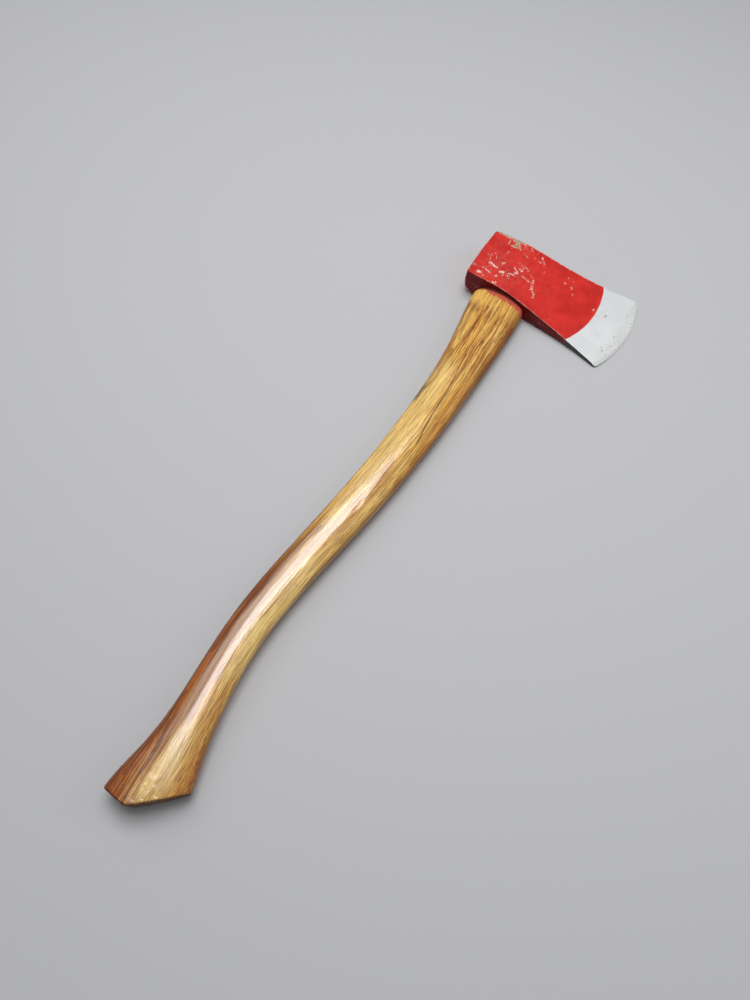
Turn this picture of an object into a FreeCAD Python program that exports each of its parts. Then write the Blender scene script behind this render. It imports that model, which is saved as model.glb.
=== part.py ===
import FreeCAD, Part
import math
import os
import Sketcher

# A single-bit fire axe: a painted forged head on a curved 24 inch hickory handle, held by
# a wood wedge along the eye and a stepped steel wedge across it.
#
# The parts are drawn about the axe's own mid-plane (XY) and then laid down together:
#   +X  from the knob of the handle to the top of the head, along the eye
#   +Y  from the cutting edge to the poll
#   +Z  up, through the thickness of the head
# The head is a wedge, so the axe rests on the flat land of one cheek, on the bit and on the
# knob. The last step turns every part about X by the half angle of the wedge, which lays
# that land on Z = 0.

DIMENSIONS = {
    # head, side view (measured from the eye's axis and from the plane where the handle's
    # shoulder would end with the head hung square)
    "foot_drop": 4.0,
    "poll_reach": 42.4,
    "poll_height": 65.0,
    "poll_crown": 0.9,
    "poll_corner_radius": 2.5,
    "toe_rise": 7.6,
    "toe_radius": 6.0,
    "top_edge_hollow": 1.6,
    "heel_drop": 23.5,
    "heel_radius": 3.0,
    "flare_start": 18.0,
    "bit_radius": 125.0,
    "bit_centre_up": 32.0,
    "bit_centre_back": 3.7,
    # head, thickness
    "eye_thick": 25.6,
    "eye_thick_back": 10.0,
    "poll_thick": 24.4,
    "cheek_land_fore": 8.0,
    "cheek_hollow": 2.1,
    "bit_thick": 3.0,
    "bit_thick_fore": 110.0,
    "grind_width": 9.0,
    "grind_angle": 17.0,
    "edge_land": 0.3,
    # eye, an oval that widens towards the top of the head
    "eye_foot": -7.0,
    "eye_foot_wide": 46.5,
    "eye_foot_thick": 17.0,
    "eye_top": 70.0,
    "eye_top_wide": 49.0,
    "eye_top_thick": 19.5,
    "eye_roundness": 0.62,
    # tongue of the handle and its wedges
    "tongue_end": 63.8,
    "kerf_floor": 18.0,
    "kerf_floor_thick": 1.2,
    "kerf_top_thick": 4.2,
    "wood_wedge_wide": 45.0,
    "steel_wedge_wide": 14.0,
    "steel_wedge_thick": 3.6,
    "steel_wedge_tip_thick": 1.0,
    "steel_wedge_depth": 22.0,
    "steel_wedge_step": 0.35,
    # handle
    "grip_roundness": 0.76,
    "knob_back": -544.0,
    "knob_corner": 13.0,
    "knob_front": -512.8,
    "knob_front_corner": -18.5,
    "knob_corner_radius": 9.0,
    "knob_face_radius": 300.0,
    "knob_edge_radius": 2.0,
    "knob_back_rake": 2.6,
    "knob_cut_reach": 30.0,
    # how far a cutting outline stands out of the solid that it cuts
    "cut_margin": 1.0,
}

# Sections of the grip from the knob to the shoulder: place along X, middle in Y, width, thickness.
GRIP_SECTIONS = [
    (-550.0, 4.2, 58.0, 23.9),
    (-505.0, 7.0, 45.4, 23.8),
    (-475.0, 10.5, 35.8, 23.4),
    (-440.0, 14.5, 31.8, 22.4),
    (-400.0, 16.5, 31.3, 21.8),
    (-340.0, 12.0, 32.8, 21.6),
    (-260.0, 2.0, 35.3, 21.6),
    (-180.0, -4.0, 37.8, 21.8),
    (-110.0, -5.0, 40.9, 22.1),
    (-55.0, -2.5, 47.6, 22.7),
    (-13.0, 0.5, 52.6, 23.1),
]

STEEL_WEDGE_STEPS = 3
ORIGIN_POINT = -1
CENTRE = 3
TOUCH = 0.01
LEAST_CUT = 1.0

doc = FreeCAD.newDocument("FireAxe")
sheet = doc.addObject("Spreadsheet::Sheet", "Sheet")


def fill_sheet():
    """Write every driving dimension into the sheet, one row each, and give it an alias."""
    rows = dict(DIMENSIONS)
    for number, section in enumerate(GRIP_SECTIONS, start=1):
        for word, value in zip(("place", "middle", "wide", "thick"), section):
            rows[f"grip_{word}_{number}"] = value
    for row, (alias, value) in enumerate(rows.items(), start=1):
        sheet.set(f"A{row}", alias)
        sheet.set(f"B{row}", str(value))
        sheet.setAlias(f"B{row}", alias)
    doc.recompute()


def size(alias):
    """The value that the sheet holds for one alias."""
    return float(getattr(sheet, alias))


def bound(expression):
    """Turn the sheet's aliases in an expression, written as [alias], into references."""
    return expression.replace("[", "Sheet.").replace("]", "")


def sketch_on(owner, name, plane_role, offset="0"):
    """A sketch on one of a body's origin planes, moved along the plane's normal by offset."""
    sketch = owner.newObject("Sketcher::SketchObject", name)
    planes = [plane for plane in owner.Origin.OriginFeatures if plane.Role == plane_role]
    sketch.AttachmentSupport = [(planes[0], "")]
    sketch.MapMode = "FlatFace"
    sketch.setExpression("AttachmentOffset.Base.z", bound(offset))
    return sketch


def value_of(expression):
    """The number that an expression of the sheet gives now."""
    return float(sheet.evalExpression(bound(expression)))


def hold(sketch, kind, elements, expression):
    """Add a dimension to a sketch and bind it to an expression of the sheet."""
    index = sketch.addConstraint(Sketcher.Constraint(kind, *elements, value_of(expression)))
    sketch.setExpression(f"Constraints[{index}]", bound(expression))


def pin(sketch, curve, end, across, up):
    """Hold a point of a curve at (across, up) from the sketch's origin."""
    hold(sketch, "DistanceX", (ORIGIN_POINT, 1, curve, end), across)
    hold(sketch, "DistanceY", (ORIGIN_POINT, 1, curve, end), up)


def outline(sketch, corners, arcs=None):
    """A closed outline through corners, each a pair of expressions.

    arcs maps the number of an edge to (radius expression, side). The edge then is an arc
    that bulges to the left of its direction for side 1 and to the right for side -1.
    """
    arcs = arcs or {}
    first = sketch.GeometryCount
    points = [FreeCAD.Vector(value_of(across), value_of(up), 0) for across, up in corners]
    for number, start in enumerate(points):
        finish = points[(number + 1) % len(points)]
        if number in arcs:
            radius, side = arcs[number]
            chord = finish - start
            reach = value_of(radius)
            rise = reach - math.sqrt(reach ** 2 - (chord.Length / 2) ** 2)
            left = FreeCAD.Vector(-chord.y, chord.x, 0).normalize()
            sketch.addGeometry(Part.Arc(start, (start + finish) / 2 + left * rise * side, finish))
        else:
            sketch.addGeometry(Part.LineSegment(start, finish))

    def end_at(curve, point):
        near_start = (sketch.getPoint(curve, 1) - point).Length < TOUCH
        return 1 if near_start else 2

    for number, (across, up) in enumerate(corners):
        before = first + (number - 1) % len(corners)
        after = first + number
        ends = (before, end_at(before, points[number]), after, end_at(after, points[number]))
        sketch.addConstraint(Sketcher.Constraint("Coincident", *ends))
        pin(sketch, ends[2], ends[3], across, up)
    for number, (radius, _) in arcs.items():
        hold(sketch, "Radius", (first + number,), radius)


def oval(sketch, middle, wide, thick, roundness):
    """A four-centre oval: two end arcs and two flatter side arcs, all tangent.

    It is wide across the sketch and thick up it. roundness is the radius of the end arcs
    over half the thickness.
    """
    end_radius = f"({roundness})*({thick})/2"
    arm = f"(({wide})/2-{end_radius})"
    side_radius = f"({arm}^2+({thick})^2/4-({end_radius})^2)/(({thick})-2*{end_radius})"
    small = value_of(end_radius)
    large = value_of(side_radius)
    reach = value_of(arm)
    centre = value_of(middle)
    lift = large - value_of(thick) / 2
    turn = math.atan2(lift, reach)
    arcs = (
        (centre + reach, 0, small, -turn, turn),
        (centre, -lift, large, turn, math.pi - turn),
        (centre - reach, 0, small, math.pi - turn, math.pi + turn),
        (centre, lift, large, math.pi + turn, 2 * math.pi - turn),
    )
    for across, up, radius, begin, finish in arcs:
        circle = Part.Circle(FreeCAD.Vector(across, up, 0), FreeCAD.Vector(0, 0, 1), radius)
        sketch.addGeometry(Part.ArcOfCircle(circle, begin, finish))
    for number in range(4):
        sketch.addConstraint(Sketcher.Constraint("Tangent", number, 2, (number + 1) % 4, 1))
    pin(sketch, 0, CENTRE, f"({middle})+{arm}", "0")
    pin(sketch, 2, CENTRE, f"({middle})-{arm}", "0")
    for number, radius in enumerate((end_radius, side_radius, end_radius, side_radius)):
        hold(sketch, "Radius", (number,), radius)


def loft(body, kind, name, profile, sections):
    """Join sketches into a solid (AdditiveLoft) or into a hole (SubtractiveLoft)."""
    feature = body.newObject(f"PartDesign::{kind}", name)
    feature.Profile = profile
    feature.Sections = sections
    doc.recompute()
    return feature


def volume_of(body):
    """The volume of a body as it stands, 0 before its first solid."""
    doc.recompute()
    return 0.0 if body.Shape.isNull() else body.Shape.Volume


def pad(body, name, sketch, length):
    """Extrude a sketch by length, half to each side of its plane."""
    feature = body.newObject("PartDesign::Pad", name)
    feature.Profile = sketch
    feature.SideType = "Symmetric"
    feature.setExpression("Length", bound(length))
    doc.recompute()
    return feature


def cut_with(body, name, sketch, length=None):
    """Cut a sketch out of a body, both ways from its plane: right through, or by length."""
    before = volume_of(body)
    feature = body.newObject("PartDesign::Pocket", name)
    feature.Profile = sketch
    feature.SideType = "Symmetric"
    if length is None:
        feature.Type = "ThroughAll"
    else:
        feature.setExpression("Length", bound(length))
    if volume_of(body) > before - LEAST_CUT:
        raise RuntimeError(f"{name} cuts nothing")
    return feature


def fillet(body, name, base, edges, radius):
    """Round named edges of a feature with a radius from the sheet."""
    feature = body.newObject("PartDesign::Fillet", name)
    feature.Base = (base, edges)
    feature.setExpression("Radius", bound(radius))
    doc.recompute()
    return feature


def edges_where(shape, wanted):
    """The names of the edges of a shape for which wanted(edge) holds."""
    return [f"Edge{number}" for number, edge in enumerate(shape.Edges, start=1) if wanted(edge)]


def upright_at(across, up):
    """A test for straight edges along Z that stand near (across, up)."""
    spot = FreeCAD.Vector(value_of(across), value_of(up), 0)

    def wanted(edge):
        ends = [vertex.Point for vertex in edge.Vertexes]
        near = all(math.hypot(end.x - spot.x, end.y - spot.y) < TOUCH for end in ends)
        return near and len(ends) == 2

    return wanted


def make_head():
    """The head: side outline, wedge-shaped cheeks, ground edge and the tapered eye."""
    body = doc.addObject("PartDesign::Body", "axe_head")
    body.Label = "axe_head"

    side = sketch_on(body, "head_side", "XY_Plane")
    toe_lift = "([poll_height]+[toe_rise]-[bit_centre_up])"
    toe_fore = f"([bit_centre_back]-sqrt([bit_radius]^2-{toe_lift}^2))"
    heel_fore = "([bit_centre_back]-sqrt([bit_radius]^2-([heel_drop]+[bit_centre_up])^2))"
    corners = [
        ("-[foot_drop]", "[poll_reach]"),
        ("[poll_height]-[foot_drop]", "[poll_reach]"),
        ("[poll_height]+[toe_rise]", toe_fore),
        ("-[heel_drop]", heel_fore),
        ("-[foot_drop]", "[flare_start]"),
    ]
    top_chord = f"(([poll_reach]-({toe_fore}))^2+([toe_rise]+[foot_drop])^2)"
    flare = "([heel_drop]-[foot_drop])"
    arcs = {
        0: ("([poll_height]^2/4+[poll_crown]^2)/(2*[poll_crown])", 1),
        1: (f"({top_chord}/4+[top_edge_hollow]^2)/(2*[top_edge_hollow])", -1),
        2: ("[bit_radius]", 1),
        3: (f"(([flare_start]-({heel_fore}))^2+{flare}^2)/(2*{flare})", -1),
    }
    outline(side, corners, arcs)

    rounded = pad(body, "blank", side, "[eye_thick]")
    for name, spots, radius in (
        ("toe_round", corners[2:3], "[toe_radius]"),
        ("heel_round", corners[3:4], "[heel_radius]"),
        ("poll_round", corners[0:2], "[poll_corner_radius]"),
    ):
        edges = [edge for spot in spots for edge in edges_where(rounded.Shape, upright_at(*spot))]
        rounded = fillet(body, name, rounded, edges, radius)

    # What lies above the cheeks, seen along the eye: a slight taper to the poll, a flat land
    # beside the eye, a shallow hollow, and the flat of the bit in line with the land.
    slope = "([eye_thick]-[bit_thick])/2/([eye_thick_back]+[bit_thick_fore])"
    land_half = f"([eye_thick]/2-{slope}*([eye_thick_back]+[cheek_land_fore]))"
    tip = "([bit_radius]-[bit_centre_back]+[cut_margin])"
    poll_end = "[poll_reach]+[poll_crown]+[cut_margin]"
    tip_half = f"([eye_thick]/2-{slope}*([eye_thick_back]+{tip}))"
    hollow_run = "([bit_thick_fore]-[cheek_land_fore])"
    hollow_radius = f"({hollow_run}^2*(1+{slope}^2)/4+[cheek_hollow]^2)/(2*[cheek_hollow])"
    for side_sign, name, bulge in (("", "upper_cheek", 1), ("-", "lower_cheek", -1)):
        cheek = sketch_on(body, f"{name}_cut", "YZ_Plane")
        cheek_corners = [
            (poll_end, f"{side_sign}[poll_thick]/2"),
            ("[eye_thick_back]", f"{side_sign}[eye_thick]/2"),
            ("-[cheek_land_fore]", f"{side_sign}{land_half}"),
            ("-[bit_thick_fore]", f"{side_sign}[bit_thick]/2"),
            (f"-{tip}", f"{side_sign}{tip_half}"),
            (f"-{tip}", f"{side_sign}[eye_thick]"),
            (poll_end, f"{side_sign}[eye_thick]"),
        ]
        outline(cheek, cheek_corners, {2: (hollow_radius, bulge)})
        cut_with(body, name, cheek)

    # The grind: a cone about the centre of the bit's arc, on both sides of the edge.
    for side_sign, name in (("", "upper_grind"), ("-", "lower_grind")):
        grind = sketch_on(body, f"{name}_cut", "YZ_Plane", "[bit_centre_up]")
        grind.setExpression("AttachmentOffset.Base.x", bound("[bit_centre_back]"))
        rise = "([edge_land]/2+[grind_width]*tan([grind_angle]))"
        outline(grind, [
            ("-([bit_radius]-[grind_width])", f"{side_sign}{rise}"),
            ("-[bit_radius]", f"{side_sign}[edge_land]/2"),
            ("-([bit_radius]+[cut_margin])", f"{side_sign}[edge_land]/2"),
            ("-([bit_radius]+[cut_margin])", f"{side_sign}[eye_thick]"),
            ("-([bit_radius]-[grind_width])", f"{side_sign}[eye_thick]"),
        ])
        before = volume_of(body)
        ring = body.newObject("PartDesign::Groove", name)
        ring.Profile = grind
        ring.ReferenceAxis = (grind, ["V_Axis"])
        ring.Angle = 360.0
        if volume_of(body) > before - LEAST_CUT:
            raise RuntimeError(f"{name} cuts nothing")

    foot, mouth = eye_sections(body, "eye")
    loft(body, "SubtractiveLoft", "eye", foot, [mouth])
    return body


def eye_sections(body, name):
    """The oval at the foot of the eye and the wider one at its top."""
    foot = sketch_on(body, f"{name}_foot", "YZ_Plane", "[eye_foot]")
    oval(foot, "0", "[eye_foot_wide]", "[eye_foot_thick]", "[eye_roundness]")
    top = sketch_on(body, f"{name}_mouth", "YZ_Plane", "[eye_top]")
    oval(top, "0", "[eye_top_wide]", "[eye_top_thick]", "[eye_roundness]")
    return foot, top


def kerf_corners():
    """The tapered saw cut down the tongue, in the XZ plane, open at the tongue's end."""
    floor = "[kerf_floor]"
    end = "[tongue_end]"
    return [
        (floor, "-[kerf_floor_thick]/2"),
        (end, "-[kerf_top_thick]/2"),
        (end, "[kerf_top_thick]/2"),
        (floor, "[kerf_floor_thick]/2"),
    ]


def steel_wedge_corners():
    """The steel wedge in the XY plane: a taper with small steps that bite into the wood."""
    pitch = f"[steel_wedge_depth]/{STEEL_WEDGE_STEPS}"
    rise = f"([steel_wedge_thick]-[steel_wedge_tip_thick])/2/{STEEL_WEDGE_STEPS}"
    one_side = []
    for step in range(STEEL_WEDGE_STEPS):
        inner = f"[tongue_end]-[steel_wedge_depth]+{step}*{pitch}"
        outer = f"[tongue_end]-[steel_wedge_depth]+{step + 1}*{pitch}"
        narrow = f"[steel_wedge_tip_thick]/2+{step}*{rise}"
        broad = f"[steel_wedge_tip_thick]/2+{step + 1}*{rise}"
        one_side.append((inner, narrow))
        one_side.append((outer, broad + ("" if step == STEEL_WEDGE_STEPS - 1 else "+[steel_wedge_step]")))
    other_side = [(across, f"-({up})") for across, up in reversed(one_side)]
    return one_side + other_side


def make_handle():
    """The handle: curved grip with its knob, the shoulder, and the tongue in the eye."""
    body = doc.addObject("PartDesign::Body", "handle")
    body.Label = "handle"

    sections = []
    for number in range(1, len(GRIP_SECTIONS) + 1):
        section = sketch_on(body, f"grip_section_{number}", "YZ_Plane", f"[grip_place_{number}]")
        oval(section, f"[grip_middle_{number}]", f"[grip_wide_{number}]",
             f"[grip_thick_{number}]", "[grip_roundness]")
        sections.append(section)
    loft(body, "AdditiveLoft", "grip", sections[0], sections[1:])

    foot, mouth = eye_sections(body, "tongue")
    loft(body, "AdditiveLoft", "shoulder", sections[-1], [foot])
    loft(body, "AdditiveLoft", "tongue", foot, [mouth])

    spare = sketch_on(body, "tongue_spare", "XY_Plane")
    outline(spare, [
        ("[tongue_end]", "-[eye_top_wide]"),
        ("[eye_top]+[cut_margin]", "-[eye_top_wide]"),
        ("[eye_top]+[cut_margin]", "[eye_top_wide]"),
        ("[tongue_end]", "[eye_top_wide]"),
    ])
    cut_with(body, "tongue_trim", spare)

    kerf = sketch_on(body, "kerf_side", "XZ_Plane")
    outline(kerf, kerf_corners())
    cut_with(body, "kerf", kerf)

    slot = sketch_on(body, "wedge_slot_side", "XY_Plane")
    outline(slot, steel_wedge_corners())
    cut_with(body, "wedge_slot", slot, "[steel_wedge_wide]")

    shape_knob(body)
    return body


def shape_knob(body):
    """Cut the knob's end: a short square face at the back and a long slanted one in front."""
    end = sketch_on(body, "knob_end", "XY_Plane")
    corners = [
        ("[knob_back]+[knob_back_rake]", "[knob_corner]+[knob_cut_reach]"),
        ("[knob_back]", "[knob_corner]"),
        ("[knob_front]+[knob_cut_reach]/2", "[knob_front_corner]-[knob_cut_reach]/2"),
        ("[knob_back]-[knob_cut_reach]", "[knob_front_corner]-[knob_cut_reach]/2"),
        ("[knob_back]-[knob_cut_reach]", "[knob_corner]+[knob_cut_reach]"),
    ]
    outline(end, corners, {1: ("[knob_face_radius]", -1)})
    cut = cut_with(body, "knob_cut", end)
    corner = edges_where(cut.Shape, upright_at(*corners[1]))
    rounded = fillet(body, "knob_corner_round", cut, corner, "[knob_corner_radius]")
    rim = knob_rim(rounded.Shape)
    fillet(body, "knob_edge_round", rounded, rim, "[knob_edge_radius]")


def knob_rim(shape):
    """The names of the edges where the end faces of the knob meet its sides."""
    grip_end = value_of("[grip_place_2]")
    flat_kinds = (Part.Plane, Part.Cylinder)
    end_faces = [
        face for face in shape.Faces
        if isinstance(face.Surface, flat_kinds) and face.CenterOfMass.x < grip_end
    ]

    def on_rim(edge):
        return sum(1 for face in end_faces if any(edge.isSame(side) for side in face.Edges)) == 1

    return edges_where(shape, on_rim)


def make_wood_wedge():
    """The wood wedge: it fills the kerf, a little shorter than the eye, and is slotted."""
    body = doc.addObject("PartDesign::Body", "wood_wedge")
    body.Label = "wood_wedge"
    side = sketch_on(body, "wood_wedge_side", "XZ_Plane")
    outline(side, kerf_corners())
    pad(body, "wood_wedge_taper", side, "[wood_wedge_wide]")
    slot = sketch_on(body, "wood_wedge_slot_side", "XY_Plane")
    outline(slot, steel_wedge_corners())
    cut_with(body, "wood_wedge_slot", slot, "[steel_wedge_wide]")
    return body


def make_steel_wedge():
    """The stepped steel wedge, driven across the wood wedge."""
    body = doc.addObject("PartDesign::Body", "steel_wedge")
    body.Label = "steel_wedge"
    side = sketch_on(body, "steel_wedge_side", "XY_Plane")
    outline(side, steel_wedge_corners())
    pad(body, "steel_wedge_taper", side, "[steel_wedge_wide]")
    return body


def lay_down(bodies):
    """Turn all parts about X so that the lower cheek lies on Z = 0, then centre them there."""
    rise = (size("eye_thick") - size("bit_thick")) / 2
    run = size("eye_thick_back") + size("bit_thick_fore")
    tilt = FreeCAD.Rotation(FreeCAD.Vector(1, 0, 0), math.degrees(math.atan2(rise, run)))
    cheek = tilt.multVec(FreeCAD.Vector(0, size("eye_thick_back"), -size("eye_thick") / 2))
    pose = FreeCAD.Placement(FreeCAD.Vector(0, 0, -cheek.z), tilt)
    box = FreeCAD.BoundBox()
    for body in bodies:
        box.add(body.Shape.transformed(pose.toMatrix(), copy=True).optimalBoundingBox(False))
    pose.Base = pose.Base - FreeCAD.Vector(box.Center.x, box.Center.y, 0)
    for body in bodies:
        body.Placement = pose
    doc.recompute()
    print(f"tilt {pose.Rotation.Angle * 180 / math.pi:.3f} deg, shift {pose.Base}")
    for body in bodies:
        print(f"{body.Label}: {body.Shape.optimalBoundingBox(False)}")


def check_document(bodies):
    """Stop if anything in the document failed, or a sub-part is not one valid solid."""
    for item in doc.Objects:
        if "Invalid" in item.State or "Error" in item.State:
            raise RuntimeError(f"{item.Name} is in state {item.State}")
    for body in bodies:
        shape = body.Shape
        if shape.isNull() or not shape.isValid() or len(shape.Solids) != 1:
            raise RuntimeError(f"{body.Label} is not one valid solid")


def main():
    fill_sheet()
    bodies = [make_head(), make_handle(), make_wood_wedge(), make_steel_wedge()]
    doc.recompute()
    check_document(bodies)
    lay_down(bodies)
    check_document(bodies)
    os.makedirs("parts", exist_ok=True)
    for body in bodies:
        body.Shape.exportStep(f"parts/{body.Label}.step")
        print(f"{body.Label}: {body.Shape.Volume / 1000:.1f} cm3")


main()
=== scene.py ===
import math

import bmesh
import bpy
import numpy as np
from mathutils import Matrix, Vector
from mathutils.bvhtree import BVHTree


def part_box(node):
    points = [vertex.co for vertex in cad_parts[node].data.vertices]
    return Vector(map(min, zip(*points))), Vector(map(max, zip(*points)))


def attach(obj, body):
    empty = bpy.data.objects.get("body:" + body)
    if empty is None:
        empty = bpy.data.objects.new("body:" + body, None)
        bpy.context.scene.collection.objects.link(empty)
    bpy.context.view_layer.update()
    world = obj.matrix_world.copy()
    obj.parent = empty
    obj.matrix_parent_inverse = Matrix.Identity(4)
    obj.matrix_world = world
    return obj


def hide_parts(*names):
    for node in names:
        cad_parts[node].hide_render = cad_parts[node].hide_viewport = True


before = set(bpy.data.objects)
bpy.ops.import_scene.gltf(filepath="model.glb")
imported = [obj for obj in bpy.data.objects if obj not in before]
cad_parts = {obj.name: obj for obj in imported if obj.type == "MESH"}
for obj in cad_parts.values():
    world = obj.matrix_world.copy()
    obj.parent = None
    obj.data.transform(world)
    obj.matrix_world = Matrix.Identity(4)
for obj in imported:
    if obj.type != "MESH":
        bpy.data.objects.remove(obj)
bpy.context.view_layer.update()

# The looks of a single-bit fire axe that lies on one cheek: a chipped red head with a bare
# ground bit, on a varnished hickory handle. The head and the handle are fine quad meshes laid
# on the CAD surfaces, with wear, grain and cracks worked into them.
#
# Shapes are made in the axe's own frame: x along the eye from the knob to the top of the head,
# y from the cutting edge to the poll, z through the thickness. The axe lies turned about X by
# the half angle of its wedge. Fields of wear are written in millimetres of that own frame.

MM = 0.001

# the head's wedge, which sets how far the axe is turned as it lies
EYE_THICK = 25.6 * MM
BIT_THICK = 3.0 * MM
CHEEK_RUN = 120.0 * MM
TILT = math.atan2((EYE_THICK - BIT_THICK) / 2, CHEEK_RUN)

# places along the own x axis
TONGUE_END = 63.8 * MM
EYE_FOOT = -7.0 * MM
SHOULDER = -13.0 * MM
KNOB_START = -505.0 * MM
KNOB_REACH = -560.0 * MM

# how much wider than thick the eye is, for aiming rays at its wall
EYE_ASPECT = 2.3

# points round the handle, the length between its rows and how far out rays start
AROUND = 280
ROW_STEP = 2.0 * MM
FAR = 0.2

SHARP_ANGLE = math.radians(38.0)
WELD_GAP = 0.001 * MM


# ---- frames and fields

def own_origin():
    """The own frame's origin in the row frame. The wood wedge is centred on the eye's axis."""
    low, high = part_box("wood_wedge")
    return np.array([high.x - TONGUE_END, (low.y + high.y) / 2, (low.z + high.z) / 2])


ORIGIN = own_origin()
TURN = np.array(Matrix.Rotation(TILT, 3, "X"))


def to_row(points):
    return np.asarray(points) @ TURN.T + ORIGIN


def to_own(points):
    return (np.asarray(points) - ORIGIN) @ TURN


def lattice(cell, seed):
    """A repeatable number from -1 to 1 for each whole-number cell."""
    mixed = cell.astype(np.int64) @ np.array([73856093, 19349663, 83492791]) + seed * 2654435761
    mixed = (mixed ^ (mixed >> 13)) * 1274126177
    mixed = (mixed ^ (mixed >> 16)) & 0xFFFFFF
    return mixed / float(0x7FFFFF) - 1.0


def soft_noise(points, size, seed):
    """Smooth noise from -1 to 1. size is the length of a wave, one number or one per axis."""
    scaled = points / np.asarray(size, float)
    cell = np.floor(scaled)
    part = scaled - cell
    part = part * part * (3 - 2 * part)
    total = np.zeros(len(points))
    for corner in np.ndindex(2, 2, 2):
        corner = np.array(corner)
        weight = np.prod(np.where(corner == 1, part, 1 - part), axis=1)
        total += weight * lattice(cell + corner, seed)
    return total


def layered_noise(points, size, seed, layers=3):
    """soft_noise with finer layers at half the size and half the strength each."""
    size = np.asarray(size, float)
    total = np.zeros(len(points))
    for layer in range(layers):
        total += soft_noise(points, size / 2 ** layer, seed + layer) / 2 ** layer
    return total


def ease(value, low, high):
    """0 below low, 1 above high, smooth between. low may be above high."""
    share = np.clip((value - low) / (high - low), 0, 1)
    return share * share * (3 - 2 * share)


# ---- reading the CAD surfaces

def cad_solid(node):
    """The points of a node, in the own frame, and its faces."""
    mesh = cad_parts[node].data
    points = to_own([vertex.co for vertex in mesh.vertices])
    return points, [tuple(polygon.vertices) for polygon in mesh.polygons]


def cad_tree(node):
    """The CAD surface of a node, ready for ray casts."""
    points, faces = cad_solid(node)
    return BVHTree.FromPolygons([tuple(point) for point in points], faces)


def cast(tree, start, direction):
    """Where a ray first meets a surface, or None."""
    hit = tree.ray_cast(Vector(start), Vector(direction).normalized())[0]
    return None if hit is None else np.array(hit)


def nearest(tree, points):
    """Each point moved to the nearest place of a surface."""
    return np.array([tree.find_nearest(Vector(point))[0] for point in points])


def soften(grid, passes, axis, closed=False):
    """Blur a grid of points along one axis. Open ends stay where they are."""
    for _ in range(passes):
        before = np.roll(grid, 1, axis)
        after = np.roll(grid, -1, axis)
        blurred = (before + 2 * grid + after) / 4
        if not closed:
            ends = [slice(None)] * grid.ndim
            for end in (0, -1):
                ends[axis] = end
                blurred[tuple(ends)] = grid[tuple(ends)]
        grid = blurred
    return grid


# ---- making meshes

def mesh_object(name, points, faces):
    """A mesh object from own-frame points."""
    mesh = bpy.data.meshes.new(name)
    mesh.from_pydata([tuple(point) for point in to_row(points)], [], faces)
    mesh.validate()
    made = bpy.data.objects.new(name, mesh)
    bpy.context.scene.collection.objects.link(made)
    return made


def tube_faces(rows, around):
    """Quads between rows of points that go round, with a fan over each end."""
    faces = []
    for row in range(rows - 1):
        for column in range(around):
            beside = (column + 1) % around
            faces.append((row * around + column, row * around + beside,
                          (row + 1) * around + beside, (row + 1) * around + column))
    first_pole = rows * around
    last_pole = first_pole + 1
    last_row = (rows - 1) * around
    for column in range(around):
        beside = (column + 1) % around
        faces.append((first_pole, beside, column))
        faces.append((last_pole, last_row + column, last_row + beside))
    return faces


def edit(made, change, *values):
    """Open a mesh, let a function change it and write it back."""
    work = bmesh.new()
    work.from_mesh(made.data)
    change(work, *values)
    work.to_mesh(made.data)
    work.free()


def outward(work):
    """Turn all faces so that their normals point out of the solid."""
    bmesh.ops.recalc_face_normals(work, faces=work.faces)


def weld(work):
    bmesh.ops.remove_doubles(work, verts=work.verts, dist=WELD_GAP)


def carve(made, cutter):
    """Cut a closed mesh out of another, for good, and remove the cutter."""
    edit(made, outward)
    edit(cutter, outward)
    cut = made.modifiers.new("carve", "BOOLEAN")
    cut.operation = "DIFFERENCE"
    cut.solver = "EXACT"
    cut.object = cutter
    solid = made.evaluated_get(bpy.context.evaluated_depsgraph_get())
    mesh = bpy.data.meshes.new_from_object(solid)
    made.modifiers.clear()
    made.data = mesh
    bpy.data.objects.remove(cutter)


def rows_of(vectors, key):
    """The vectors of a mesh as the rows of an array."""
    flat = np.zeros(len(vectors) * 3)
    vectors.foreach_get(key, flat)
    return flat.reshape(-1, 3)


def own_points(made):
    return to_own(rows_of(made.data.vertices, "co"))


def own_normals(made):
    return rows_of(made.data.vertex_normals, "vector") @ TURN


def displace(made, rise):
    """Move each vertex along its normal by rise, in metres."""
    normals = rows_of(made.data.vertex_normals, "vector")
    moved = rows_of(made.data.vertices, "co") + normals * rise[:, None]
    made.data.vertices.foreach_set("co", moved.ravel())
    made.data.update()


def keep_fields(made, **fields):
    """Store numbers or vectors, one per vertex, for the material to read."""
    for name, values in fields.items():
        kind, key = ("FLOAT", "value") if values.ndim == 1 else ("FLOAT_VECTOR", "vector")
        field = made.data.attributes.new(name, kind, "POINT")
        field.data.foreach_set(key, values.astype(np.float32).ravel())


def shade(work):
    """Smooth shading, broken at sharp edges."""
    for face in work.faces:
        face.smooth = True
    for edge in work.edges:
        edge.smooth = edge.calc_face_angle(0.0) < SHARP_ANGLE


def finish_piece(made, material, node):
    """Give a piece its material, its place in the row and its body."""
    made.data.materials.clear()
    made.data.materials.append(material)
    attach(made, "root")
    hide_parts(node)


# ---- handle

def grip_ring(tree, place, angles):
    """One ring of the handle at x = place: the middle of the section and the points round it."""
    back = cast(tree, (place, FAR, 0), (0, -1, 0))[1]
    belly = cast(tree, (place, -FAR, 0), (0, 1, 0))[1]
    middle = (back + belly) / 2
    half_wide = (back - belly) / 2
    half_thick = cast(tree, (place, middle, FAR), (0, 0, -1))[2]
    ring = []
    for angle in angles:
        aim = (0, math.cos(angle) * half_wide, math.sin(angle) * half_thick)
        ring.append(cast(tree, (place, middle, 0), aim))
    return np.array(ring)


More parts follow.
